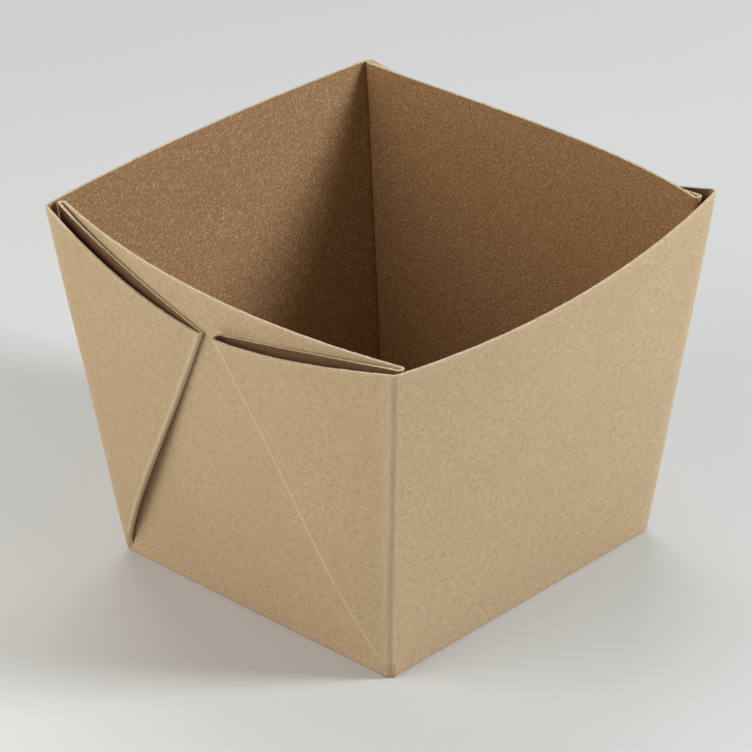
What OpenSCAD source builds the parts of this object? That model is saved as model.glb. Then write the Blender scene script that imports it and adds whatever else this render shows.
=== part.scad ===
// Open flared food box, folded from one sheet of kraft board.
// X runs along the front wall, the front wall faces -Y, Z is up.
// The origin is the centre of the base, on the surface the box stands on.
// Corners are numbered 0 to 3: front left, front right, back right, back left.

/* [Base] */
// Width of the base along X
base_w = 80; // [60:1:140]
// Depth of the base along Y
base_d = 77.6; // [60:0.1:140]
// Outer radius of the fold between the base and each wall
base_fold_r = 0.6; // [0.3:0.1:1.5]

/* [Walls] */
// Height of the rim at the corners
height = 79.5; // [50:0.5:120]
// Width of the rim between its corners, along X
rim_w = 100.5; // [80:0.5:160]
// Depth of the rim between its corners, along Y
rim_d = 102.5; // [80:0.5:160]
// How far the front and back walls bow outwards at the rim
main_bow = 5; // [0:0.1:8]
// How far the two end walls bow outwards at the rim, beyond the line between its corners
end_bow = 1.9; // [0:0.1:6]
// How far the rim of the front wall dips between its corners
front_dip = 1.9; // [0:0.1:6]
// How far the rim of the back wall dips between its corners
back_dip = 1.3; // [0:0.1:6]
// How far the rim of the end walls dips between its corners
end_dip = 1.2; // [0:0.1:6]
// Radius of the upright corner folds
corner_r = 1.3; // [1:0.1:3]

/* [Board] */
// Thickness of the board
board = 0.6; // [0.4:0.05:0.8]

/* [Flaps at the front left and back right corners] */
// How far the tips of these two flaps lie below the rim's corners
wide_tip_drop = 8.5; // [4:0.5:20]
// Distance from such a flap's tip to the middle of its end wall
wide_tip_gap = 3; // [1:0.1:6]
// How far such a flap bows away from its end wall, half way along
wide_flap_bow = 0.9; // [0:0.1:3]
// How far the plies of such a flap's folded edge stand open at its tip
wide_fold_open = 2; // [0:0.1:4]

/* [Flaps at the front right and back left corners] */
// How far the tips of these two flaps lie below the rim's corners
tight_tip_drop = 10.5; // [4:0.5:20]
// Distance from such a flap's tip to the middle of its end wall
tight_tip_gap = 1.8; // [1:0.1:6]
// How far such a flap bows away from its end wall, half way along
tight_flap_bow = 1.6; // [0:0.1:3]
// How far the plies of such a flap's folded edge stand open at its tip
tight_fold_open = 0; // [0:0.1:4]

/* [Folds] */
// How far the flaps' folded edges stand off the end walls, near their lower ends
fold_lift = 1.6; // [0:0.1:3]
// Crack between the two plies at a flap's folded edge
fold_gap = 0.12; // [0.08:0.01:0.3]
// Crack between an end wall and the ply glued to it
glue_gap = 0.1; // [0.08:0.01:0.2]
// The same crack inside an end wall's turned edges, at the rim
turn_gap = 0.8; // [0.2:0.05:1.5]
// Clearance between an end wall's turned edges and the front and back walls
edge_gap = 0.15; // [0.1:0.01:0.4]

/* [Set of the folded box] */
// How far the front left end wall's edge stands in from its corner
pocket_front_left = 3.6; // [0:0.1:8]
// How far the front right end wall's edge stands in from its corner
pocket_front_right = 5.4; // [0:0.1:8]
// How far the back right end wall's edge stands in from its corner
pocket_back_right = 1.6; // [0:0.1:8]
// How far the back left end wall's edge stands in from its corner
pocket_back_left = 4.3; // [0:0.1:8]
// How far the rim's front left and back right corners are pushed out along X
rack_x = 2.3; // [-4:0.1:4]
// How far the rim's front left and back right corners are pushed out along Y
rack_y = 2.4; // [-4:0.1:4]
// How far the same two corners of the rim sit low, and the other two high
twist = 0.7; // [-2:0.1:2]

/* [Hidden] */
kraft = [0.74, 0.63, 0.47];
// Signs of each corner along X and Y, and the way the rim is racked there
side_x = [-1, 1, 1, -1];
side_y = [-1, -1, 1, 1];
rack_sign = [1, -1, 1, -1];
pocket = [pocket_front_left, pocket_front_right, pocket_back_right, pocket_back_left];
tip_drop = [wide_tip_drop, tight_tip_drop, wide_tip_drop, tight_tip_drop];
tip_gap = [wide_tip_gap, tight_tip_gap, wide_tip_gap, tight_tip_gap];
flap_bow = [wide_flap_bow, tight_flap_bow, wide_flap_bow, tight_flap_bow];
fold_open = [wide_fold_open, tight_fold_open, wide_fold_open, tight_fold_open];
// Steps along each stretch of the sheet
wall_steps = 18;
flap_steps = 9;
corner_steps = 5;
fold_steps = 6;
// Shape of a flap's outer top edge: how much of its drop comes early
edge_lead = 0.62;
// How quickly a glued ply meets the end wall beyond its turned edge, and leaves it at the folded edge
seat_power = 3;
peel_power = 4;
// Share of a folded edge at which it stands off furthest
lift_peak = 0.25;
// Thickness of two plies and their cracks outside an end wall
stack = 2 * board + glue_gap + fold_gap;
// Share of the height at which a flap is long enough to hold both of its turns, one board apart
start_run = board + edge_gap + depth_of(glue_gap) + board + depth_of(fold_gap);
start_t = start_run / min([for (c = [0:3]) flap_run(c, 1)]);
// Levels from the bottom edge to the top edge, as shares of the height
fold_levels = [0, 0.15, 0.45, 1];
levels = concat(
    [for (share = fold_levels) share * base_fold_r / height],
    [start_t, 2.5 * start_t, 0.28, 0.5, 0.72, 1]
);
// How far the solid fold of a base corner reaches up into the flaps, and how far it stays inside them
knuckle_lap = 0.4;
knuckle_inset = 0.05;
slice = 0.01;

function mix(a, b, s) = a * (1 - s) + b * s;
function unit(v) = v / norm(v);
function right_of(v) = [v.y, -v.x];

// Upright edge of corner c, as distances from the centre at share t of the height
function corner_x(c, t) = mix(base_w / 2, rim_w / 2 + rack_sign[c] * rack_x, t);
function corner_y(c, t) = mix(base_d / 2, rim_d / 2 + rack_sign[c] * rack_y, t);
function up(p, t) = t * (height - twist * 4 * p.x * p.y / (rim_w * rim_d));

// How far the outer face draws in as it rounds the fold into the base
function fold_in(t) =
    let (rise = min(t * height, base_fold_r))
    base_fold_r - sqrt(pow(base_fold_r, 2) - pow(base_fold_r - rise, 2));

// Outer face of the front or back wall, side s, at u from -1 to 1 along X
function main_face(s, u, t) =
    let (left = s < 0 ? 0 : 3, right = s < 0 ? 1 : 2, k = (u + 1) / 2)
    [
        mix(-corner_x(left, t), corner_x(right, t), k),
        s * (mix(corner_y(left, t), corner_y(right, t), k) + main_bow * t * (1 - u * u) - fold_in(t))
    ];
function main_top(s, u) = 1 - (s < 0 ? front_dip : back_dip) * (1 - u * u) / height;

// Outer face of the end wall on side s, at w from -1 to 1 along Y
function stack_at(t) = stack * min(1, t / start_t);
function end_inset(c, t) = max(pocket[c] * t, stack_at(t));
function end_edge_y(c, t) = corner_y(c, t) - board - edge_gap;
function end_front(s) = s < 0 ? 0 : 1;
function end_back(s) = s < 0 ? 3 : 2;
function end_y(s, w, t) =
    mix(-end_edge_y(end_front(s), t), end_edge_y(end_back(s), t), (w + 1) / 2);
function end_w(s, y, t) =
    let (low = -end_edge_y(end_front(s), t), high = end_edge_y(end_back(s), t))
    2 * (y - low) / (high - low) - 1;
function end_x(s, w, t) =
    let (
        front = end_front(s),
        back = end_back(s),
        chord = mix(corner_x(front, t), corner_x(back, t), (w + 1) / 2),
        inset = mix(end_inset(front, t), end_inset(back, t), (w + 1) / 2)
    )
    chord - inset * w * w + end_bow * t * (1 - w * w) - fold_in(t);
function end_top(w) = 1 - end_dip * (1 - w * w) / height;

// Folded edge of the flap at corner c: a straight line from the base corner to the tip
function tip_t(c) = 1 - tip_drop[c] / height;
function tip_y(c) = end_y(side_x[c], 0, tip_t(c)) + side_y[c] * tip_gap[c];
function fold_y(c, t) = mix(side_y[c] * base_d / 2, tip_y(c), t / tip_t(c));
function flap_run(c, t) = abs(side_y[c] * corner_y(c, t) - fold_y(c, t));
function flap_top(c, v) = 1 - (1 - tip_t(c)) * v * (1 + edge_lead - edge_lead * v);
function glued_top(c, v) = 1 - (1 - tip_t(c)) * v;

// How far a turn's outside reaches beyond the point where it starts, round a crack
function depth_of(crack) = board + crack / 2;
// Extra crack inside the flap's folded edge, and how far that edge stands off the end wall
function open_at(c, t) = fold_open[c] * pow(t / tip_t(c), 2);
function lift_at(c, t) =
    let (s = min(1, max(0, t - start_t) / (tip_t(c) - start_t)))
    fold_lift * s / lift_peak * pow((1 - s) / (1 - lift_peak), 1 / lift_peak - 1);
// Extra crack inside the end wall's turned edge, as far as the pocket leaves room for it
function edge_open(c, t) = max(0, min((turn_gap - glue_gap) * t, pocket[c] * t - stack));

// Where the half-round turns of the folded edge and of the end wall's turned edge start
function fold_start_y(c, t) = fold_y(c, t) + side_y[c] * depth_of(fold_gap + open_at(c, t));
function turned_y(c, t) = side_y[c] * (end_edge_y(c, t) - depth_of(glue_gap + edge_open(c, t)));

// How far the glued ply stands off its seat, at v from 0 at the turned edge to 1 at the folded edge
function ply_rise(c, v, t) =
    edge_open(c, t) * pow(1 - v, seat_power) + lift_at(c, t) * pow(v, peel_power);
function ply_v(c, y, t) =
    min(1, max(0, (y - turned_y(c, t)) / (fold_start_y(c, t) - turned_y(c, t))));

// Outer face of the flap's outer ply, at v from 0 at the corner to 1 at the folded edge
function flap_face(c, v, t) =
    let (
        s = side_x[c],
        y = mix(side_y[c] * corner_y(c, t), fold_y(c, t), v),
        seat = end_x(s, end_w(s, y, t), t) + stack_at(t) + ply_rise(c, ply_v(c, y, t), t),
        fold_rise = stack_at(t) + lift_at(c, t) + open_at(c, t),
        fold_seat = end_x(s, end_w(s, fold_y(c, t), t), t) + fold_rise,
        line = mix(corner_x(c, t), fold_seat, v) + flap_bow[c] * t * 4 * v * (1 - v)
    )
    [s * (v == 0 ? corner_x(c, t) : max(line, seat)), y];

// Centre line of the sheet, stretch by stretch, each point as [x, y] at share t
function main_mid(s, u, t) = main_face(s, u, t) - [0, s * board / 2];
function end_mid(s, y, t) = [s * (end_x(s, end_w(s, y, t), t) - board / 2), y];
function glued_mid(c, v, t) =
    end_mid(side_x[c], mix(turned_y(c, t), fold_start_y(c, t), v), t)
    + [side_x[c] * (board + glue_gap + ply_rise(c, v, t)), 0];
function flap_mid(c, v, t) = flap_face(c, v, t) - [side_x[c] * board / 2, 0];

// Corner fold between the front or back wall and a flap, at k from the wall to the flap,
// at a depth below the outer face
function wall_end_u(s, t) =
    let (left = s < 0 ? 0 : 3, right = s < 0 ? 1 : 2)
    1 - 2 * corner_r / (corner_x(left, t) + corner_x(right, t));
function flap_end_v(c, t) = min(0.4, corner_r / max(flap_run(c, t), slice));
function bend(from, apex, to, k) =
    pow(1 - k, 2) * from + 2 * k * (1 - k) * apex + pow(k, 2) * to;
function corner_at(c, k, t, depth) =
    bend(
        main_face(side_y[c], side_x[c] * wall_end_u(side_y[c], t), t) - [0, side_y[c] * depth],
        [side_x[c] * (corner_x(c, t) - depth), side_y[c] * (corner_y(c, t) - depth)],
        flap_face(c, flap_end_v(c, t), t) - [side_x[c] * depth, 0],
        k
    );

// Half-round turn from one ply to the next, bulging along Y towards side bulge, at k along it
function turn(from, to, bulge, k) =
    let (r = norm(to - from) / 2)
    mix(from, to, (1 - cos(180 * k)) / 2) + [0, bulge * r * sin(180 * k)];
function fold_start_v(c, t) = 1 - abs(fold_start_y(c, t) - fold_y(c, t)) / flap_run(c, t);
function fold_mid(c, k, t) =
    turn(flap_mid(c, fold_start_v(c, t), t), glued_mid(c, 1, t), -side_y[c], k);
function flat_y(s, w, t) =
    mix(turned_y(end_front(s), t), turned_y(end_back(s), t), (w + 1) / 2);
function turned_mid(c, k, t) =
    turn(glued_mid(c, 0, t), end_mid(side_x[c], turned_y(c, t), t), side_y[c], k);

// Where each stretch lies on the sheet: [stretch, corner or side, place along it]
function steps(n) = [for (k = [0:n]) k / n];
function later_steps(n) = [for (k = [1:n]) k / n];
function main_stretch(s) = [for (k = steps(wall_steps)) ["main", s, -s * (2 * k - 1)]];
function end_stretch(s) = [for (k = steps(wall_steps)) ["end", s, s * (2 * k - 1)]];
function flap_out(c) = concat(
    [for (k = later_steps(corner_steps)) ["corner", c, k]],
    [for (k = later_steps(flap_steps)) ["flap", c, k]],
    [for (k = later_steps(fold_steps)) ["fold", c, k]],
    [for (k = later_steps(flap_steps)) ["glued", c, 1 - k]],
    [for (k = later_steps(fold_steps)) if (k < 1) ["turned", c, k]]
);
function backwards(list) = [for (k = [len(list) - 1:-1:0]) list[k]];
path = concat(
    main_stretch(-1), flap_out(1), end_stretch(1), backwards(flap_out(2)),
    main_stretch(1), flap_out(3), end_stretch(-1), backwards(flap_out(0))
);
count = len(path);

function is_wall(p) = p[0] == "main" || p[0] == "end";
function top_share(p) =
    p[0] == "main" ? main_top(p[1], p[2])
    : p[0] == "end" ? end_top(p[2])
    : p[0] == "flap" ? flap_top(p[1], p[2])
    : p[0] == "glued" ? glued_top(p[1], p[2])
    : p[0] == "fold" ? tip_t(p[1])
    : 1;
function share(p, level) =
    let (low = is_wall(p) ? 0 : start_t)
    mix(low, top_share(p), is_wall(p) ? level : max(0, (level - start_t) / (1 - start_t)));
function mid(p, t) =
    p[0] == "main" ? main_mid(p[1], p[2] * wall_end_u(p[1], t), t)
    : p[0] == "end" ? end_mid(p[1], flat_y(p[1], p[2], t), t)
    : p[0] == "corner" ? corner_at(p[1], p[2], t, board / 2)
    : p[0] == "flap" ? flap_mid(p[1], mix(flap_end_v(p[1], t), fold_start_v(p[1], t), p[2]), t)
    : p[0] == "fold" ? fold_mid(p[1], p[2], t)
    : p[0] == "glued" ? glued_mid(p[1], p[2], t)
    : turned_mid(p[1], p[2], t);

// Outward normal of the centre line at path point i
function normal(i, t) =
    right_of(unit(mid(path[(i + 1) % count], t) - mid(path[(i + count - 1) % count], t)));
function sheet_point(i, level, side) =
    let (
        t = share(path[i], level),
        p = mid(path[i], t) + side * board / 2 * normal(i, t)
    )
    [p.x, p.y, up(p, t)];

// Two triangles over a four-sided patch
function patch(a, b, c, d) = [[a, b, c], [a, c, d]];

module walls_and_flaps() {
    rows = len(levels);
    inner = rows * count;
    points = [
        for (side = [1, -1]) for (level = levels) for (i = [0:count - 1]) sheet_point(i, level, side)
    ];
    faces = [
        for (i = [0:count - 1])
            let (n = (i + 1) % count, top = (rows - 1) * count)
            each concat(
                [for (j = [0:rows - 2]) each patch(
                    j * count + i, (j + 1) * count + i, (j + 1) * count + n, j * count + n
                )],
                [for (j = [0:rows - 2]) each patch(
                    inner + j * count + i, inner + j * count + n,
                    inner + (j + 1) * count + n, inner + (j + 1) * count + i
                )],
                patch(top + i, inner + top + i, inner + top + n, top + n),
                patch(i, n, inner + n, inner + i)
            )
    ];
    polyhedron(points = points, faces = faces, convexity = 10);
}

// Flat bottom of the box, running into the middle of the walls' thickness
module base_panel() {
    hull() for (z = [0, board / 2, board - slice])
        let (inset = board + 2 * fold_in(z / height))
        translate([0, 0, z])
            linear_extrude(slice)
                square([base_w - inset, base_d - inset], center = true);
}

// Rounded outline of base corner c, drawn in by inset, closed across the inside of the box
function base_corner(c, inset) =
    let (
        x = base_w / 2 - inset,
        y = base_d / 2 - inset,
        in_x = base_w / 2 - board,
        in_y = base_d / 2 - board,
        end_reach = y - edge_gap - depth_of(glue_gap) - 2 * board,
        outline = concat(
            [for (k = steps(corner_steps)) bend([x - corner_r, y], [x, y], [x, y - corner_r], k)],
            [[in_x, end_reach], [x - 2 * corner_r, in_y]]
        )
    )
    [for (p = outline) [side_x[c] * p.x, side_y[c] * p.y]];

// Outline of the folded plies of corner c at share t, drawn in a little
function folded_corner(c, t) =
    let (
        s = side_x[c],
        out = [s * (board / 2 - knuckle_inset), 0],
        fold_from = flap_mid(c, fold_start_v(c, t), t) + out,
        fold_to = glued_mid(c, 1, t) - out,
        inner = end_mid(s, fold_to.y, t) - out,
        main_in = side_y[c] * (corner_y(c, t) - board + knuckle_inset)
    )
    concat(
        [for (k = steps(corner_steps)) corner_at(c, k, t, knuckle_inset)],
        [for (k = steps(fold_steps)) turn(fold_from, fold_to, -side_y[c], k)],
        [inner, [s * (corner_x(c, t) - 2 * corner_r), main_in]]
    );

module outline_slice(outline, z) {
    translate([0, 0, z])
        linear_extrude(slice)
            polygon(outline);
}

// Solid fold of a base corner, where the flap runs out to nothing
module knuckle(c) {
    top_t = start_t + knuckle_lap / height;
    hull() {
        outline_slice(base_corner(c, base_fold_r), 0);
        outline_slice(base_corner(c, 0), base_fold_r);
    }
    hull() {
        outline_slice(base_corner(c, 0), base_fold_r);
        outline_slice(folded_corner(c, top_t), top_t * height);
    }
}

module folded_carton() {
    color(kraft) {
        walls_and_flaps();
        base_panel();
        for (c = [0:3]) knuckle(c);
    }
}

folded_carton();
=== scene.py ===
"""Open flared food box, folded from one sheet of kraft board, on a pale studio floor."""

import math

import bmesh
import bpy
import numpy as np
from mathutils import Matrix, Vector, noise


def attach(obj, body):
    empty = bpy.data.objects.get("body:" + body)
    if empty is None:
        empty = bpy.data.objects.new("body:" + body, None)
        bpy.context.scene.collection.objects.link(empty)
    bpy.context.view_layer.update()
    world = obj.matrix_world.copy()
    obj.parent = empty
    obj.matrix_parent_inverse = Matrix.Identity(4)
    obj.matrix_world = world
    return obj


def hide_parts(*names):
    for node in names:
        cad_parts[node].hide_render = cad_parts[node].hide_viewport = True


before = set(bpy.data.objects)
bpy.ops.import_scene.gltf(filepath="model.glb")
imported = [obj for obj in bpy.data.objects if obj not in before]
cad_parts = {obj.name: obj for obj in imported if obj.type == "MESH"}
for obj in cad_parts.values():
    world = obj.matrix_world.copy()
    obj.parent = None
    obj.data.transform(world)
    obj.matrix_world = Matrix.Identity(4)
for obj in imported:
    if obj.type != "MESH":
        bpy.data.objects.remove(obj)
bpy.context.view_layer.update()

MM = 0.001

# Driving sizes of the folded sheet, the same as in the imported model
BOARD = 0.6 * MM
BASE_W = 80 * MM
BASE_D = 77.6 * MM
BASE_FOLD_R = 0.6 * MM
HEIGHT = 79.5 * MM
RIM_W = 100.5 * MM
RIM_D = 102.5 * MM
CORNER_R = 1.3 * MM

# How far the walls bow outwards and their rims dip: front and back walls, then end walls
MAIN_BOW = 5 * MM
END_BOW = 1.9 * MM
FRONT_DIP = 1.9 * MM
BACK_DIP = 1.3 * MM
END_DIP = 1.2 * MM

# Stand-off of the flaps' folded edges, and the cracks between the plies
FOLD_LIFT = 1.6 * MM
FOLD_GAP = 0.12 * MM
GLUE_GAP = 0.1 * MM
TURN_GAP = 0.8 * MM
EDGE_GAP = 0.15 * MM

# How far the rim is pushed out of square, and how far two of its corners sit low
RACK_X = 2.3 * MM
RACK_Y = 2.4 * MM
TWIST = 0.7 * MM

# Curves of a flap's upper edge, of the glued ply at either end and of the folded edge's lift
EDGE_LEAD = 0.62
SEAT_POWER = 3
PEEL_POWER = 4
LIFT_PEAK = 0.25

# Corners 0 to 3: front left, front right, back right, back left
SIDE_X = [-1, 1, 1, -1]
SIDE_Y = [-1, -1, 1, 1]
RACK_SIGN = [1, -1, 1, -1]
POCKET = [3.6 * MM, 5.4 * MM, 1.6 * MM, 4.3 * MM]
TIP_DROP = [8.5 * MM, 10.5 * MM, 8.5 * MM, 10.5 * MM]
TIP_GAP = [3 * MM, 1.8 * MM, 3 * MM, 1.8 * MM]
FLAP_BOW = [0.9 * MM, 1.6 * MM, 0.9 * MM, 1.6 * MM]
FOLD_OPEN = [2 * MM, 0, 2 * MM, 0]

# Steps along each stretch of the sheet
WALL_STEPS = 140
FLAP_STEPS = 44
CORNER_STEPS = 14
FOLD_STEPS = 8

# Rows of a column: shares of the base fold, shares of the corner's start, depths below the rim
BASE_ROWS = (0, 0.08, 0.22, 0.42, 0.68, 1)
START_ROWS = (0.35, 0.7)
RIM_ROWS = [depth * MM for depth in (3.2, 2.2, 1.4, 0.8, 0.4, 0.15, 0)]
WALL_ROWS = 19
WALL_ROWS_TOP = 0.94

# The most of a flap that its corner fold takes, and the shortest run that is divided by
CORNER_SHARE = 0.4
LEAST_RUN = 0.01 * MM

# Two plies on an end wall, with their cracks
STACK = 2 * BOARD + GLUE_GAP + FOLD_GAP

# How far a base corner's solid fold reaches up into the flaps, and how far it stays inside them
KNUCKLE_LAP = 0.4 * MM
KNUCKLE_INSET = 0.05 * MM

# How softly a flap leaves its seat, and the least rise from row to row
SEAT_BLEND = 0.12 * MM
ROW_SLIVER = 0.02 * MM

# Finishes of the sheet, by material index
OUTSIDE, INSIDE, CUT = 0, 1, 2


def mix(a, b, s):
    return a * (1 - s) + b * s


def pair(x, y):
    x, y = np.broadcast_arrays(np.asarray(x, float), np.asarray(y, float))
    return np.stack([x, y], -1)


# Form of the sheet, at share t of the height


def corner_x(c, t):
    return mix(BASE_W / 2, RIM_W / 2 + RACK_SIGN[c] * RACK_X, t)


def corner_y(c, t):
    return mix(BASE_D / 2, RIM_D / 2 + RACK_SIGN[c] * RACK_Y, t)


def up(p, t):
    return t * (HEIGHT - TWIST * 4 * p[..., 0] * p[..., 1] / (RIM_W * RIM_D))


def fold_in(t):
    """How far the outer face draws in as it rounds the fold into the base."""
    rise = np.minimum(t * HEIGHT, BASE_FOLD_R)
    return BASE_FOLD_R - np.sqrt(BASE_FOLD_R**2 - (BASE_FOLD_R - rise) ** 2)


def main_corners(s):
    return (0, 1) if s < 0 else (3, 2)


def end_corners(s):
    return (0, 3) if s < 0 else (1, 2)


def main_face(s, u, t):
    """Outer face of the front or back wall, at u from -1 to 1 along X."""
    left, right = main_corners(s)
    k = (u + 1) / 2
    x = mix(-corner_x(left, t), corner_x(right, t), k)
    y = mix(corner_y(left, t), corner_y(right, t), k) + MAIN_BOW * t * (1 - u * u) - fold_in(t)
    return pair(x, s * y)


def stack_at(t):
    return STACK * np.minimum(1, t / START_T)


def end_inset(c, t):
    return np.maximum(POCKET[c] * t, stack_at(t))


def end_edge_y(c, t):
    return corner_y(c, t) - BOARD - EDGE_GAP


def end_y(s, w, t):
    front, back = end_corners(s)
    return mix(-end_edge_y(front, t), end_edge_y(back, t), (w + 1) / 2)


def end_w(s, y, t):
    front, back = end_corners(s)
    low, high = -end_edge_y(front, t), end_edge_y(back, t)
    return 2 * (y - low) / (high - low) - 1


def end_x(s, w, t):
    """Distance of an end wall's outer face from the middle plane."""
    front, back = end_corners(s)
    k = (w + 1) / 2
    chord = mix(corner_x(front, t), corner_x(back, t), k)
    inset = mix(end_inset(front, t), end_inset(back, t), k)
    return chord - inset * w * w + END_BOW * t * (1 - w * w) - fold_in(t)


def tip_t(c):
    return 1 - TIP_DROP[c] / HEIGHT


def tip_y(c):
    return end_y(SIDE_X[c], 0, tip_t(c)) + SIDE_Y[c] * TIP_GAP[c]


def fold_y(c, t):
    """A flap's folded edge: a straight line from the base corner to the tip."""
    return mix(SIDE_Y[c] * BASE_D / 2, tip_y(c), t / tip_t(c))


def flap_run(c, t):
    return np.abs(SIDE_Y[c] * corner_y(c, t) - fold_y(c, t))


def flap_top(c, v):
    return 1 - (1 - tip_t(c)) * v * (1 + EDGE_LEAD - EDGE_LEAD * v)


def glued_top(c, v):
    return 1 - (1 - tip_t(c)) * v


def depth_of(crack):
    """How far a turn's outside reaches beyond the point where it starts, round a crack."""
    return BOARD + crack / 2


START_RUN = BOARD + EDGE_GAP + depth_of(GLUE_GAP) + BOARD + depth_of(FOLD_GAP)
START_T = START_RUN / min(flap_run(c, 1) for c in range(4))


def open_at(c, t):
    """Extra crack inside a flap's folded edge."""
    return FOLD_OPEN[c] * (t / tip_t(c)) ** 2


def lift_at(c, t):
    """How far a flap's folded edge stands off its end wall."""
    s = np.clip((t - START_T) / (tip_t(c) - START_T), 0, 1)
    return FOLD_LIFT * s / LIFT_PEAK * ((1 - s) / (1 - LIFT_PEAK)) ** (1 / LIFT_PEAK - 1)


def edge_open(c, t):
    """Extra crack inside an end wall's turned edge, as far as the pocket leaves room for it."""
    return np.maximum(0, np.minimum((TURN_GAP - GLUE_GAP) * t, POCKET[c] * t - STACK))


def fold_start_y(c, t):
    return fold_y(c, t) + SIDE_Y[c] * depth_of(FOLD_GAP + open_at(c, t))


def turned_y(c, t):
    return SIDE_Y[c] * (end_edge_y(c, t) - depth_of(GLUE_GAP + edge_open(c, t)))


def ply_rise(c, v, t):
    """How far the glued ply stands off its seat, at v from the turned edge to the folded edge."""
    return edge_open(c, t) * (1 - v) ** SEAT_POWER + lift_at(c, t) * v**PEEL_POWER


def ply_v(c, y, t):
    start = turned_y(c, t)
    return np.clip((y - start) / (fold_start_y(c, t) - start), 0, 1)


def soft_max(a, b):
    return (a + b + np.sqrt((a - b) ** 2 + SEAT_BLEND**2)) / 2


def flap_face(c, v, t):
    """Outer face of a flap's outer ply, at v from 0 at the corner to 1 at the folded edge."""
    s = SIDE_X[c]
    y = mix(SIDE_Y[c] * corner_y(c, t), fold_y(c, t), v)
    seat = end_x(s, end_w(s, y, t), t) + stack_at(t) + ply_rise(c, ply_v(c, y, t), t)
    fold_seat = end_x(s, end_w(s, fold_y(c, t), t), t) + stack_at(t) + lift_at(c, t) + open_at(c, t)
    line = mix(corner_x(c, t), fold_seat, v) + FLAP_BOW[c] * t * 4 * v * (1 - v)
    return pair(s * soft_max(line, seat), y)


# Centre line of the sheet, stretch by stretch


def main_mid(s, u, t):
    return main_face(s, u, t) - np.array([0, s * BOARD / 2])


def end_mid(s, y, t):
    return pair(s * (end_x(s, end_w(s, y, t), t) - BOARD / 2), y)


def glued_mid(c, v, t):
    y = mix(turned_y(c, t), fold_start_y(c, t), v)
    return end_mid(SIDE_X[c], y, t) + pair(SIDE_X[c] * (BOARD + GLUE_GAP + ply_rise(c, v, t)), 0)


def flap_mid(c, v, t):
    return flap_face(c, v, t) - np.array([SIDE_X[c] * BOARD / 2, 0])


def wall_end_u(s, t):
    left, right = main_corners(s)
    return 1 - 2 * CORNER_R / (corner_x(left, t) + corner_x(right, t))


def flap_end_v(c, t):
    return np.minimum(CORNER_SHARE, CORNER_R / np.maximum(flap_run(c, t), LEAST_RUN))


def corner_at(c, k, t, depth):
    """Fold between the front or back wall and a flap, at k from the wall to the flap."""
    start = main_face(SIDE_Y[c], SIDE_X[c] * wall_end_u(SIDE_Y[c], t), t)
    start = start - np.array([0, SIDE_Y[c] * depth])
    apex = pair(SIDE_X[c] * (corner_x(c, t) - depth), SIDE_Y[c] * (corner_y(c, t) - depth))
    end = flap_face(c, flap_end_v(c, t), t) - np.array([SIDE_X[c] * depth, 0])
    return (1 - k) ** 2 * start + 2 * k * (1 - k) * apex + k**2 * end


def turn(start, end, bulge, k):
    """Half-round turn from one ply to the next, at k along it."""
    r = np.linalg.norm(end - start, axis=-1) / 2
    straight = mix(start, end, (1 - math.cos(math.pi * k)) / 2)
    return straight + pair(0, bulge * r * math.sin(math.pi * k))


def fold_start_v(c, t):
    return 1 - np.abs(fold_start_y(c, t) - fold_y(c, t)) / flap_run(c, t)


def fold_mid(c, k, t):
    return turn(flap_mid(c, fold_start_v(c, t), t), glued_mid(c, 1, t), -SIDE_Y[c], k)


def flat_y(s, w, t):
    front, back = end_corners(s)
    return mix(turned_y(front, t), turned_y(back, t), (w + 1) / 2)


def turned_mid(c, k, t):
    return turn(glued_mid(c, 0, t), end_mid(SIDE_X[c], turned_y(c, t), t), SIDE_Y[c], k)


def steps(n):
    return [k / n for k in range(n + 1)]


def later_steps(n):
    return [k / n for k in range(1, n + 1)]


def main_stretch(s):
    return [("main", s, -s * (2 * k - 1)) for k in steps(WALL_STEPS)]


def end_stretch(s):
    return [("end", s, s * (2 * k - 1)) for k in steps(WALL_STEPS)]


def flap_out(c):
    out = [("corner", c, k) for k in later_steps(CORNER_STEPS)]
    out += [("flap", c, k) for k in later_steps(FLAP_STEPS)]
    out += [("fold", c, k) for k in later_steps(FOLD_STEPS)]
    out += [("glued", c, 1 - k) for k in later_steps(FLAP_STEPS)]
    return out + [("turned", c, k) for k in later_steps(FOLD_STEPS) if k < 1]


def sheet_path():
    """The sheet's columns, once round the box: stretch, corner or side, place along it."""
    path = main_stretch(-1) + flap_out(1) + end_stretch(1) + flap_out(2)[::-1]
    return path + main_stretch(1) + flap_out(3) + end_stretch(-1) + flap_out(0)[::-1]


def mid(column, t):
    kind, who, place = column
    if kind == "main":
        return main_mid(who, place * wall_end_u(who, t), t)
    if kind == "end":
        return end_mid(who, flat_y(who, place, t), t)
    if kind == "corner":
        return corner_at(who, place, t, BOARD / 2)
    if kind == "flap":
        return flap_mid(who, mix(flap_end_v(who, t), fold_start_v(who, t), place), t)
    if kind == "fold":
        return fold_mid(who, place, t)
    if kind == "glued":
        return glued_mid(who, place, t)
    return turned_mid(who, place, t)


def top_share(column):
    kind, who, place = column
    if kind == "main":
        return 1 - (FRONT_DIP if who < 0 else BACK_DIP) * (1 - place * place) / HEIGHT
    if kind == "end":
        return 1 - END_DIP * (1 - place * place) / HEIGHT
    if kind == "flap":
        return flap_top(who, place)
    if kind == "glued":
        return glued_top(who, place)
    return tip_t(who) if kind == "fold" else 1


def row_levels():
    """Heights of the rows as shares of a column, close together at the base fold and the rim."""
    base = [share * BASE_FOLD_R / HEIGHT for share in BASE_ROWS]
    walls = [START_T * share for share in START_ROWS]
    walls += list(np.linspace(START_T, WALL_ROWS_TOP, WALL_ROWS))
    rim = [1 - depth / HEIGHT for depth in RIM_ROWS]
    return np.array(base + walls + rim)


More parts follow.
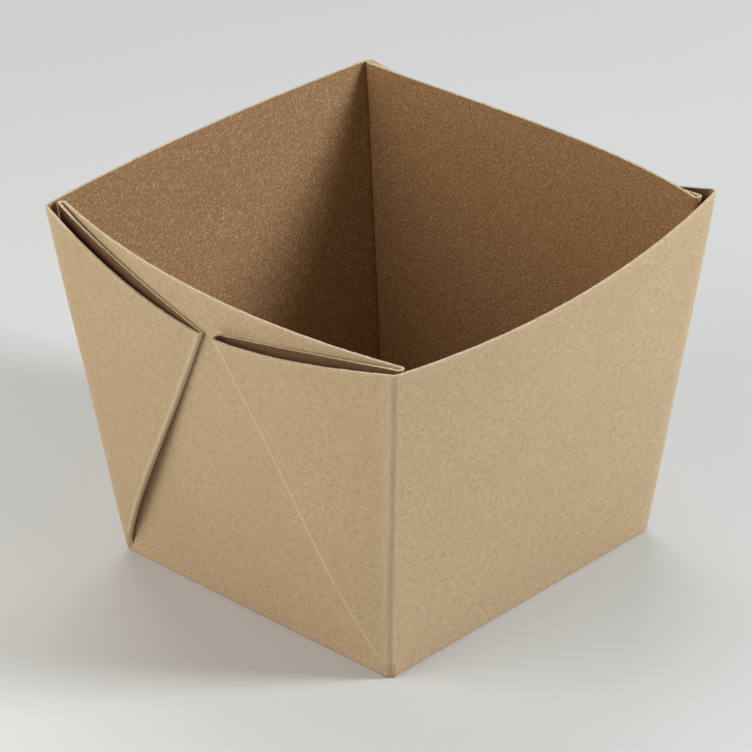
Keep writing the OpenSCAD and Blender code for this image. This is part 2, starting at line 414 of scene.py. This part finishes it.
def column_shares(column):
    """Shares of the height at a column's rows. A flap starts above the solid base corner."""
    rows = row_levels()
    if column[0] in ("main", "end"):
        return rows * top_share(column)
    inside_corner = START_T + np.arange(len(rows)) * ROW_SLIVER / HEIGHT
    on_flap = mix(START_T, top_share(column), (rows - START_T) / (1 - START_T))
    return np.maximum(inside_corner, on_flap)


def smooth_noise(points, size, seed):
    """Smooth noise from about -1 to 1 at each point, with features of the given size."""
    offset = Vector((seed * 7.3, seed * 3.1, seed * 5.7))
    return np.array([noise.noise(Vector(p) / size + offset) for p in points])


# The sheet's mesh


def new_object(name, points, faces, finishes, materials):
    data = bpy.data.meshes.new(name)
    data.from_pydata([tuple(p) for p in points], [], faces)
    for material in materials:
        data.materials.append(material)
    data.polygons.foreach_set("material_index", np.asarray(finishes, np.int32))
    data.polygons.foreach_set("use_smooth", np.ones(len(faces), bool))
    data.update()
    made = bpy.data.objects.new(name, data)
    bpy.context.scene.collection.objects.link(made)
    return made


def set_attribute(data, name, values):
    attribute = data.attributes.new(name, "FLOAT", "POINT")
    attribute.data.foreach_set("value", np.asarray(values, np.float32))


# Stretches that line the pockets, and how far the paler band of each kind of fold reaches: wear, and on
# the corner folds also painted light
POCKET_KINDS = ("flap", "fold", "glued")
FOLD_REACH = {"corner": 2.4 * MM, "fold": 0.8 * MM, "turned": 0.8 * MM}
FAR_FROM_FOLDS = 1.0
HALF_WAY = 0.01

# Cut edge: how it rounds over the board, how rough it is and how far down the wear reaches
CAP_SHARES = (0.2, 0.5, 0.8)
CAP_BULGE = 0.05 * MM
RIM_REACH = 0.5 * MM
RIM_ROUGH = 0.09 * MM
RIM_ROUGH_SIZE = 1.3 * MM
RIM_ROUGH_SEED = 1
RIM_ROUGH_FLOOR = 0.05


def walls_and_flaps(materials):
    """The sheet's walls and flaps, one closed ribbon of columns, each a ring of rows: up the
    outside, over the cut edge and down the inside."""
    path = sheet_path()
    count = len(path)
    rings, centres, below = [], [], []
    for i, column in enumerate(path):
        t = column_shares(column)
        centre = mid(column, t)
        along = mid(path[(i + 1) % count], t) - mid(path[i - 1], t)
        along /= np.linalg.norm(along, axis=-1, keepdims=True)
        offset = np.stack([along[:, 1], -along[:, 0]], -1) * BOARD / 2
        outer = np.column_stack([centre + offset, up(centre + offset, t)])
        inner = np.column_stack([centre - offset, up(centre - offset, t)])
        cap = [mix(outer[-1], inner[-1], share) for share in CAP_SHARES]
        depth = (t[-1] - t) * HEIGHT
        rings.append(np.vstack([outer, cap, inner[::-1]]))
        centres.append(centre)
        below.append(np.concatenate([depth, [0] * len(cap), depth[::-1]]))
    rings = np.array(rings)
    centres = np.array(centres)
    below = np.array(below)
    rows = centres.shape[1]
    ring = rings.shape[1]

    cap_rise = np.zeros(ring)
    cap_rise[rows:rows + len(CAP_SHARES)] = CAP_BULGE
    flat = rings.reshape(-1, 3)
    rough = np.zeros(len(flat))
    near_rim = np.exp(-((below / RIM_REACH) ** 2)).ravel()
    chosen = np.nonzero(near_rim > RIM_ROUGH_FLOOR)[0]
    rough[chosen] = smooth_noise(flat[chosen], RIM_ROUGH_SIZE, RIM_ROUGH_SEED) * near_rim[chosen]
    flat[:, 2] += RIM_ROUGH * rough + np.tile(cap_rise, count)

    lengths = np.linalg.norm(np.diff(centres, axis=0), axis=-1)
    arc = np.vstack([np.zeros(rows), np.cumsum(lengths, axis=0)])
    fold = np.zeros_like(arc)
    across = np.full_like(arc, FAR_FROM_FOLDS)
    pocket = np.zeros_like(arc)
    crease = np.full_like(arc, FAR_FROM_FOLDS)
    for i, (kind, _, place) in enumerate(path):
        pocket[i] = kind in POCKET_KINDS
        if kind in FOLD_REACH and abs(place - 0.5) < HALF_WAY:
            away = arc - arc[i]
            fold = np.maximum(fold, np.exp(-((away / FOLD_REACH[kind]) ** 2)))
            across = np.where(np.abs(away) < np.abs(across), away, across)
            if kind == "fold":
                half_turn = (arc[i + FOLD_STEPS // 2] - arc[i - FOLD_STEPS // 2]) / 2
                crease = np.minimum(crease, np.abs(away) - half_turn)

    def round_ring(values):
        return np.hstack([values, np.repeat(values[:, -1:], len(CAP_SHARES), 1), values[:, ::-1]])

    faces = []
    finishes = []
    row_finish = [OUTSIDE] * (rows - 1)
    row_finish += [CUT] * (len(CAP_SHARES) + 1)
    row_finish += [INSIDE] * (rows - 1)
    row_finish += [OUTSIDE]
    for i in range(count):
        n = (i + 1) % count
        for j in range(ring):
            k = (j + 1) % ring
            faces.append((i * ring + j, n * ring + j, n * ring + k, i * ring + k))
            finishes.append(row_finish[j])
    made = new_object("carton_sheet", flat, faces, finishes, materials)
    set_attribute(made.data, "across", round_ring(across).ravel())
    set_attribute(made.data, "fold", round_ring(fold).ravel())
    set_attribute(made.data, "pocket", round_ring(pocket).ravel())
    set_attribute(made.data, "crease", round_ring(crease).ravel())
    set_attribute(made.data, "rim", np.exp(-(below / RIM_REACH)).ravel())
    return made


# Least slope of a face's normal towards the middle, or upwards, for it to look in or up
LOOKS_IN = 0.3
LOOKS_UP = 0.7


def hull_object(name, points, materials, top_finish):
    """Convex solid round the points, with the inside finish on faces that look into the box."""
    mesh = bmesh.new()
    for p in points:
        mesh.verts.new(p)
    bmesh.ops.convex_hull(mesh, input=mesh.verts)
    loose = [v for v in mesh.verts if not v.link_faces]
    bmesh.ops.delete(mesh, geom=loose, context="VERTS")
    mesh.verts.index_update()
    middle = Vector(np.mean([v.co for v in mesh.verts], axis=0))
    faces = []
    finishes = []
    outwards = Vector((middle.x, middle.y, 0)).normalized()
    for face in mesh.faces:
        faces.append([v.index for v in face.verts])
        side_finish = INSIDE if face.normal.dot(outwards) < -LOOKS_IN else OUTSIDE
        finishes.append(top_finish if face.normal.z > LOOKS_UP else side_finish)
    made = new_object(name, [v.co.copy() for v in mesh.verts], faces, finishes, materials)
    set_attribute(made.data, "crease", np.full(len(mesh.verts), FAR_FROM_FOLDS))
    mesh.free()
    return made


def base_panel(materials):
    """Flat bottom of the box, running into the middle of the walls' thickness."""
    points = []
    for z in (0, BOARD / 2, BOARD):
        inset = BOARD + 2 * float(fold_in(z / HEIGHT))
        for c in range(4):
            points.append((SIDE_X[c] * (BASE_W - inset) / 2, SIDE_Y[c] * (BASE_D - inset) / 2, z))
    return hull_object("base_panel", points, materials, INSIDE)


def base_corner(c, inset, z):
    """Rounded outline of base corner c, drawn in by inset, closed across the inside of the box."""
    x = BASE_W / 2 - inset
    y = BASE_D / 2 - inset
    outline = []
    for k in steps(CORNER_STEPS):
        bend_x = (1 - k) ** 2 * (x - CORNER_R) + 2 * k * (1 - k) * x + k**2 * x
        bend_y = (1 - k) ** 2 * y + 2 * k * (1 - k) * y + k**2 * (y - CORNER_R)
        outline.append((bend_x, bend_y))
    end_reach = y - EDGE_GAP - depth_of(GLUE_GAP) - 2 * BOARD
    outline += [(BASE_W / 2 - BOARD, end_reach), (x - 2 * CORNER_R, BASE_D / 2 - BOARD)]
    return [(SIDE_X[c] * p[0], SIDE_Y[c] * p[1], z) for p in outline]


def folded_corner(c, t):
    """Outline of the folded plies of corner c at share t, drawn in a little."""
    s = SIDE_X[c]
    out = np.array([s * (BOARD / 2 - KNUCKLE_INSET), 0])
    fold_from = flap_mid(c, fold_start_v(c, t), t) + out
    fold_to = glued_mid(c, 1, t) - out
    outline = [corner_at(c, k, t, KNUCKLE_INSET) for k in steps(CORNER_STEPS)]
    outline += [turn(fold_from, fold_to, -SIDE_Y[c], k) for k in steps(FOLD_STEPS)]
    outline += [end_mid(s, fold_to[1], t) - out]
    main_in = SIDE_Y[c] * (corner_y(c, t) - BOARD + KNUCKLE_INSET)
    outline += [(s * (corner_x(c, t) - 2 * CORNER_R), main_in)]
    return [(float(x), float(y), t * HEIGHT) for x, y in outline]


def knuckles(c, materials):
    """Solid fold of a base corner, where the flap runs out to nothing."""
    lower = base_corner(c, BASE_FOLD_R, 0) + base_corner(c, 0, BASE_FOLD_R)
    upper = base_corner(c, 0, BASE_FOLD_R) + folded_corner(c, START_T + KNUCKLE_LAP / HEIGHT)
    return [
        hull_object(f"knuckle_low_{c}", lower, materials, OUTSIDE),
        hull_object(f"knuckle_high_{c}", upper, materials, OUTSIDE),
    ]


def unite(main, others):
    """Joins closed solids into one closed mesh."""
    for other in others:
        modifier = main.modifiers.new("unite", "BOOLEAN")
        modifier.operation = "UNION"
        modifier.solver = "MANIFOLD"
        modifier.material_mode = "INDEX"
        modifier.object = other
    graph = bpy.context.evaluated_depsgraph_get()
    whole = bpy.data.meshes.new_from_object(main.evaluated_get(graph))
    main.modifiers.clear()
    main.data = whole
    for other in others:
        bpy.data.objects.remove(other)


# Unevenness of the walls: depth, size, the share of the height where it is whole, and how
# quickly it fades from one pair of walls to the other
SETTLE = 0.22 * MM
SETTLE_SIZE = 38 * MM
SETTLE_RISE = 0.25
SETTLE_POWER = 4
SETTLE_SEEDS = (3, 5)


def wall_share(along, half):
    """How far points belong to the pair of walls that face this way, from 0 to 1."""
    return np.clip(np.abs(along) / half, 0, 1) ** SETTLE_POWER


def settle(data):
    """Gives the walls a slight unevenness, the same through every ply, so that none of them meet."""
    points = np.empty(len(data.vertices) * 3, np.float32)
    data.vertices.foreach_get("co", points)
    points = points.reshape(-1, 3).astype(float)
    x, y, z = points.T
    rise = np.clip(z / (SETTLE_RISE * HEIGHT), 0, 1)
    on_ends = np.stack([np.sign(x) * SETTLE_SIZE, y, z], -1)
    on_mains = np.stack([x, np.sign(y) * SETTLE_SIZE, z], -1)
    along_x = smooth_noise(on_ends, SETTLE_SIZE, SETTLE_SEEDS[0])
    along_y = smooth_noise(on_mains, SETTLE_SIZE, SETTLE_SEEDS[1])
    shift_x = SETTLE * along_x * rise * wall_share(x, BASE_W / 2)
    shift_y = SETTLE * along_y * rise * wall_share(y, BASE_D / 2)
    points += np.stack([shift_x, shift_y, np.zeros(len(points))], -1)
    data.vertices.foreach_set("co", points.astype(np.float32).ravel())
    data.update()


# Finishes

# Places of the colour sockets among all those of a mix node
MIX_FACTOR, MIX_A, MIX_B, MIX_RESULT = 0, 6, 7, 2


class Nodes:
    """Short names for building a material's nodes."""

    def __init__(self, name):
        self.material = bpy.data.materials.new(name)
        self.material.use_nodes = True
        self.tree = self.material.node_tree
        self.tree.nodes.clear()

    def add(self, kind, inputs=None, **settings):
        node = self.tree.nodes.new(kind)
        for key, value in settings.items():
            setattr(node, key, value)
        for key, value in (inputs or {}).items():
            self.set(node.inputs[key], value)
        return node

    def set(self, socket, value):
        if isinstance(value, bpy.types.NodeSocket):
            self.tree.links.new(value, socket)
        else:
            socket.default_value = value

    def finish(self, inputs):
        """Ends the material in one shader with these inputs."""
        shader = self.add("ShaderNodeBsdfPrincipled", inputs)
        self.add("ShaderNodeOutputMaterial", {"Surface": shader.outputs["BSDF"]})

    def attribute(self, name):
        return self.add("ShaderNodeAttribute", attribute_name=name).outputs["Fac"]

    def mapping(self, vector, kind, value):
        return self.add("ShaderNodeMapping", {"Vector": vector, kind: value}).outputs["Vector"]

    def noise(self, vector, scale, detail=2.0, roughness=0.5):
        inputs = {"Vector": vector, "Scale": scale, "Detail": detail, "Roughness": roughness}
        return self.add("ShaderNodeTexNoise", inputs).outputs["Fac"]

    def math(self, operation, a, b=0.0):
        return self.add("ShaderNodeMath", {0: a, 1: b}, operation=operation).outputs[0]

    def times(self, a, b):
        return self.math("MULTIPLY", a, b)

    def ramp(self, value, low, high, out_low=0.0, out_high=1.0):
        """Value taken smoothly from low..high to out_low..out_high."""
        inputs = {"Value": value, "From Min": low, "From Max": high, "To Min": out_low, "To Max": out_high}
        node = self.add("ShaderNodeMapRange", inputs, interpolation_type="SMOOTHSTEP")
        return node.outputs["Result"]

    def blend(self, factor, a, b):
        """Colour a with colour b laid over it as strongly as the factor says."""
        inputs = {MIX_FACTOR: factor, MIX_A: a, MIX_B: b}
        node = self.add("ShaderNodeMix", inputs, data_type="RGBA", clamp_factor=True)
        return node.outputs[MIX_RESULT]


# Scales of the noises, in waves per metre
CLOUD_SCALE = 70.0
GRAIN_SCALE = 3000.0
SPECK_SCALE = 1900.0
HAIR_SCALE = 260.0
RIM_SCALE = 900.0
CREASE_SCALE = 2000.0

# Where each noise starts to show and where it shows whole
MOTTLE_BAND = (0.28, 0.72)
CLOUD_BAND = (0.35, 0.65)
GRAIN_BAND = (0.3, 0.7)
SPECK_BAND = (0.66, 0.74)
LINE_BAND = (0.3, 0.7)
RIM_BAND = (0.35, 0.65)
ROUGHNESS_BAND = (0.2, 0.8)

# Least paling on a fold (wear, with painted light on the corner folds), on a folded edge (painted
# highlight) and on a rim (wear), as a share of the most
FOLD_WEAR_AND_LIGHT_LEAST = 0.25
CREASE_HIGHLIGHT_LEAST = 0.6
RIM_WEAR_LEAST = 0.2

# Hairs: width of the ridge that shows, how much finer the noise is that breaks them, its edge
HAIR_WIDTH = 0.009
HAIR_BREAK = 1.7
HAIR_EDGE = 0.04

# Short fibres: the ways they lie, how far they are drawn out, how soft their edges are
FIBRE_TURNS = [(0.9, 0.3, 0.2), (-0.5, 0.8, 1.1), (0.2, -0.9, 2.2)]
FIBRE_STRETCH = 0.2
FIBRE_EDGE = 0.07

# Painted highlight along a flap's folded edge, streaked like wear, by distance past the turn's start
CREASE_CORE = 0.2 * MM
CREASE_REACH = 0.55 * MM

# Fine lines along the folds change this slowly with height
LINE_DRIFT = 0.03

# Relief: share that the grain takes, and the height of a full step
GRAIN_RELIEF = 0.6
RELIEF_STEP = 0.05 * MM


def long_hairs(nodes, vector, share):
    """Thin curved hairs: ridges of one noise, broken up by another."""
    wave = nodes.noise(vector, HAIR_SCALE, 1.0, 0.4)
    ridge = nodes.math("ABSOLUTE", nodes.math("SUBTRACT", wave, 0.5))
    line = nodes.ramp(ridge, 0.0, HAIR_WIDTH, 1.0, 0.0)
    breaks = nodes.noise(vector, HAIR_SCALE * HAIR_BREAK, 1.0, 0.5)
    return nodes.times(line, nodes.ramp(breaks, 1 - share, 1 - share + HAIR_EDGE))


def short_fibres(nodes, vector, scale, low):
    """Fine short fibres lying three ways, from noise drawn out along each."""
    whole = None
    for rotation in FIBRE_TURNS:
        turned = nodes.mapping(vector, "Rotation", rotation)
        drawn = nodes.mapping(turned, "Scale", (1.0, 1.0, FIBRE_STRETCH))
        one = nodes.ramp(nodes.noise(drawn, scale, 1.0, 0.5), low, low + FIBRE_EDGE)
        whole = one if whole is None else nodes.math("MAXIMUM", whole, one)
    return whole


def fold_lines(nodes, place):
    """Fine lines that run along the folds."""
    height = nodes.add("ShaderNodeSeparateXYZ", {"Vector": place}).outputs["Z"]
    inputs = {"X": nodes.attribute("across"), "Y": nodes.times(height, LINE_DRIFT), "Z": 0.0}
    across = nodes.add("ShaderNodeCombineXYZ", inputs).outputs["Vector"]
    return nodes.noise(across, CREASE_SCALE, 2.0, 0.6)


def kraft(name, look):
    """Unbleached board: soft cloudiness, fine mottle, specks and fibres, worn rims, folds paled by wear
    and on the corners by painted light, a painted highlight along the flaps' folded edges and painted
    shade in the pockets.
    """
    nodes = Nodes(name)
    place = nodes.add("ShaderNodeTexCoord").outputs["Object"]
    cloud = nodes.noise(place, CLOUD_SCALE, 2.0, 0.5)
    mottle = nodes.noise(place, look["mottle_scale"], 3.0, 0.6)
    grain = nodes.noise(place, GRAIN_SCALE, 2.0, 0.6)
    specks = nodes.noise(place, SPECK_SCALE, 1.0, 0.4)
    short = short_fibres(nodes, place, look["fibre_scale"], look["fibre_low"])
    hairs = long_hairs(nodes, place, look["hair_share"])
    lines = fold_lines(nodes, place)
    fold = nodes.attribute("fold")
    crease = nodes.ramp(nodes.attribute("crease"), CREASE_CORE, CREASE_REACH, 1.0, 0.0)

    tone = nodes.blend(nodes.ramp(mottle, *MOTTLE_BAND), look["dark"], look["light"])
    tone = nodes.blend(nodes.ramp(cloud, *CLOUD_BAND, 0.0, look["cloud"]), tone, look["cloud_tone"])
    tone = nodes.blend(nodes.ramp(grain, *GRAIN_BAND, 0.0, look["grain"]), tone, look["dark"])
    tone = nodes.blend(nodes.times(short, look["fibre_strength"]), tone, look["fibre"])
    tone = nodes.blend(nodes.ramp(specks, *SPECK_BAND, 0.0, look["speck_strength"]), tone, look["speck"])
    tone = nodes.blend(nodes.times(hairs, look["hair_strength"]), tone, look["speck"])
    # Paler band along the folds: wear, and on the corner folds also painted light that lifts the shade the
    # lamps leave there.
    worn_and_lit_fold = nodes.times(fold, nodes.ramp(lines, *LINE_BAND, FOLD_WEAR_AND_LIGHT_LEAST, 1.0))
    tone = nodes.blend(nodes.times(worn_and_lit_fold, look["fold_wear_and_light"]), tone, look["pale_wear_and_highlight"])
    # Painted highlight: a paler line along each flap's folded edge where the rounded fold catches the
    # light, streaked by the fine fold lines.
    painted_crease_line = nodes.times(crease, nodes.ramp(lines, *LINE_BAND, CREASE_HIGHLIGHT_LEAST, 1.0))
    tone = nodes.blend(nodes.times(painted_crease_line, look["folded_edge_highlight"]), tone, look["pale_wear_and_highlight"])
    rim_patches = nodes.ramp(nodes.noise(place, RIM_SCALE), *RIM_BAND, RIM_WEAR_LEAST, 1.0)
    worn_rim = nodes.times(nodes.attribute("rim"), rim_patches)
    tone = nodes.blend(nodes.times(worn_rim, look["rim_wear"]), tone, look["pale_wear_and_highlight"])
    # Painted shade: the faces that line the pockets between the plies are drawn towards a deep brown,
    # standing in for the shade down in them.
    painted_shade_in_pocket = nodes.times(nodes.attribute("pocket"), look["pocket_shading"])
    tone = nodes.blend(painted_shade_in_pocket, tone, look["pocket_shade_colour"])

    relief = nodes.times(grain, GRAIN_RELIEF)
    relief = nodes.math("ADD", relief, nodes.times(mottle, look["mottle_relief"]))
    relief = nodes.math("ADD", relief, nodes.times(short, look["fibre_relief"]))
    relief = nodes.math("ADD", relief, nodes.times(nodes.times(fold, lines), look["fold_relief"]))
    bump = nodes.add(
        "ShaderNodeBump",
        {"Strength": look["bump"], "Distance": RELIEF_STEP, "Height": relief},
    )
    nodes.finish({
        "Base Color": tone,
        "Roughness": nodes.ramp(grain, *ROUGHNESS_BAND, look["smooth"], look["rough"]),
        "Specular IOR Level": look["specular"],
        "Normal": bump.outputs["Normal"],
    })
    return nodes.material


def linear(red, green, blue):
    """A colour seen as red, green and blue from 0 to 255, as the shaders take it."""
    def one(value):
        value /= 255
        return value / 12.92 if value <= 0.04045 else ((value + 0.055) / 1.055) ** 2.4
    return (one(red), one(green), one(blue), 1.0)


OUTSIDE_LOOK = {
    "dark": linear(175, 149, 115),
    "light": linear(190, 166, 132),
    "cloud": 0.35,
    "cloud_tone": linear(178, 152, 119),
    "grain": 0.35,
    "mottle_scale": 1000.0,
    "fibre": linear(206, 184, 150),
    "fibre_scale": 2600.0,
    "fibre_low": 0.64,
    "fibre_strength": 0.4,
    "speck": linear(128, 100, 70),
    "speck_strength": 0.5,
    "hair_share": 0.3,
    "hair_strength": 0.45,
    # Pale tone of worn rims and folds, also used for the painted light on the corner folds and the painted
    # highlight along the folded edges
    "pale_wear_and_highlight": linear(208, 190, 158),
    "fold_wear_and_light": 0.45,
    # Strength of the painted highlight along the flaps' folded edges
    "folded_edge_highlight": 0.5,
    "rim_wear": 0.5,
    "pocket_shading": 0.0,
    "pocket_shade_colour": linear(88, 60, 42),
    "mottle_relief": 0.5,
    "fibre_relief": 0.3,
    "fold_relief": 0.6,
    "bump": 0.4,
    "smooth": 0.78,
    "rough": 0.95,
    "specular": 0.3,
}
INSIDE_LOOK = dict(
    OUTSIDE_LOOK,
    dark=linear(134, 98, 60),
    light=linear(156, 118, 77),
    cloud_tone=linear(146, 107, 67),
    grain=0.45,
    fibre=linear(208, 174, 124),
    fibre_scale=4300.0,
    fibre_low=0.62,
    fibre_strength=0.75,
    speck=linear(100, 68, 42),
    speck_strength=0.35,
    hair_share=0.2,
    pale_wear_and_highlight=linear(165, 132, 92),
    fold_wear_and_light=0.15,
    folded_edge_highlight=0.0,
    rim_wear=0.3,
    # How strongly the painted shade darkens the faces lining the pockets
    pocket_shading=0.7,
    fibre_relief=0.9,
    bump=0.8,
    smooth=0.5,
    rough=0.75,
    specular=0.4,
)
CUT_LOOK = dict(
    OUTSIDE_LOOK,
    dark=linear(172, 150, 118),
    light=linear(222, 206, 176),
    cloud_tone=linear(200, 180, 146),
    mottle_scale=2200.0,
    speck_strength=0.7,
    bump=0.9,
    fold_wear_and_light=0.0,
    folded_edge_highlight=0.0,
    rim_wear=0.0,
)

materials = [
    kraft("kraft_outside", OUTSIDE_LOOK),
    kraft("kraft_inside", INSIDE_LOOK),
    kraft("kraft_cut_edge", CUT_LOOK),
]

# The sheet

SHARP_ANGLE = math.radians(42)

sheet = walls_and_flaps(materials)
corner_solids = [solid for c in range(4) for solid in knuckles(c, materials)]
unite(sheet, [base_panel(materials)] + corner_solids)
settle(sheet.data)
sheet.data.polygons.foreach_set("use_smooth", np.ones(len(sheet.data.polygons), bool))
sheet.data.set_sharp_from_angle(angle=SHARP_ANGLE)
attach(sheet, "root")
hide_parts("folded_carton")

# Floor and light

FLOOR_RADIUS = 3.0
FLOOR_STEPS = 96
FLOOR_SCALE = 6.0
FLOOR_DARK = (0.60, 0.60, 0.59, 1)
FLOOR_LIGHT = (0.63, 0.63, 0.62, 1)


def studio_floor():
    """Large pale disc that the box stands on."""
    angles = [2 * math.pi * k / FLOOR_STEPS for k in range(FLOOR_STEPS)]
    ring = [(FLOOR_RADIUS * math.cos(a), FLOOR_RADIUS * math.sin(a), 0) for a in angles]
    nodes = Nodes("pale_floor")
    place = nodes.add("ShaderNodeTexCoord").outputs["Object"]
    tone = nodes.blend(nodes.noise(place, FLOOR_SCALE), FLOOR_DARK, FLOOR_LIGHT)
    nodes.finish({"Base Color": tone, "Roughness": 0.9})
    floor = new_object("floor", ring, [list(range(FLOOR_STEPS))], [0], [nodes.material])


def aimed(location, target):
    direction = Vector(target) - Vector(location)
    return direction.to_track_quat("-Z", "Y").to_euler()


def soft_light(name, toward, distance, size, power, tint):
    """Square soft box in the direction given from the box's middle, facing it."""
    data = bpy.data.lights.new(name, "AREA")
    data.shape = "SQUARE"
    data.size = size
    data.energy = power
    data.color = tint
    light = bpy.data.objects.new(name, data)
    middle = Vector((0, 0, HEIGHT / 2))
    light.location = middle + Vector(toward).normalized() * distance
    light.rotation_euler = aimed(light.location, middle)
    bpy.context.scene.collection.objects.link(light)


studio_floor()
soft_light("key", (1.0, -1.6, 1.0), 1.0, 0.26, 9.3, (0.90, 0.955, 1.0))
soft_light("side", (-1.0, 0.35, 0.52), 0.48, 0.4, 1.64, (1.0, 0.985, 0.95))
soft_light("back", (0.6, 0.7, 1.3), 1.2, 0.8, 6.0, (1.0, 0.99, 0.98))

world = bpy.data.worlds.new("studio")
world.use_nodes = True
ambient = world.node_tree.nodes["Background"]
ambient.inputs["Color"].default_value = (1.0, 1.0, 1.0, 1)
ambient.inputs["Strength"].default_value = 0.225
bpy.context.scene.world = world
bpy.context.scene.view_settings.view_transform = "Standard"

# Camera at the photograph's viewing angle

PHOTO_SIZE = 752
FOCAL_PIXELS = 3760.18
CAMERA_AZIMUTH = math.radians(-45.779)
CAMERA_ELEVATION = math.radians(27.961)
CAMERA_ROLL = math.radians(1.184)
CAMERA_DISTANCE = 800.239 * MM
AIM_RIGHT = -1.772 * MM
AIM_UP = 34.714 * MM

back = Vector((
    math.sin(CAMERA_AZIMUTH) * math.cos(CAMERA_ELEVATION),
    -math.cos(CAMERA_AZIMUTH) * math.cos(CAMERA_ELEVATION),
    math.sin(CAMERA_ELEVATION),
))
right = Vector((math.cos(CAMERA_AZIMUTH), math.sin(CAMERA_AZIMUTH), 0))
above = back.cross(right)
rolled_right = right * math.cos(CAMERA_ROLL) - above * math.sin(CAMERA_ROLL)
rolled_above = right * math.sin(CAMERA_ROLL) + above * math.cos(CAMERA_ROLL)
camera_data = bpy.data.cameras.new("camera")
camera_data.sensor_width = 36
camera_data.lens = FOCAL_PIXELS * camera_data.sensor_width / PHOTO_SIZE
camera_data.clip_start = 0.05
camera_data.clip_end = 20
camera = bpy.data.objects.new("camera", camera_data)
bpy.context.scene.collection.objects.link(camera)
turned = Matrix((rolled_right, rolled_above, back)).transposed().to_4x4()
camera.matrix_world = Matrix.Translation(
    right * AIM_RIGHT + above * AIM_UP + back * CAMERA_DISTANCE
) @ turned
bpy.context.scene.camera = camera
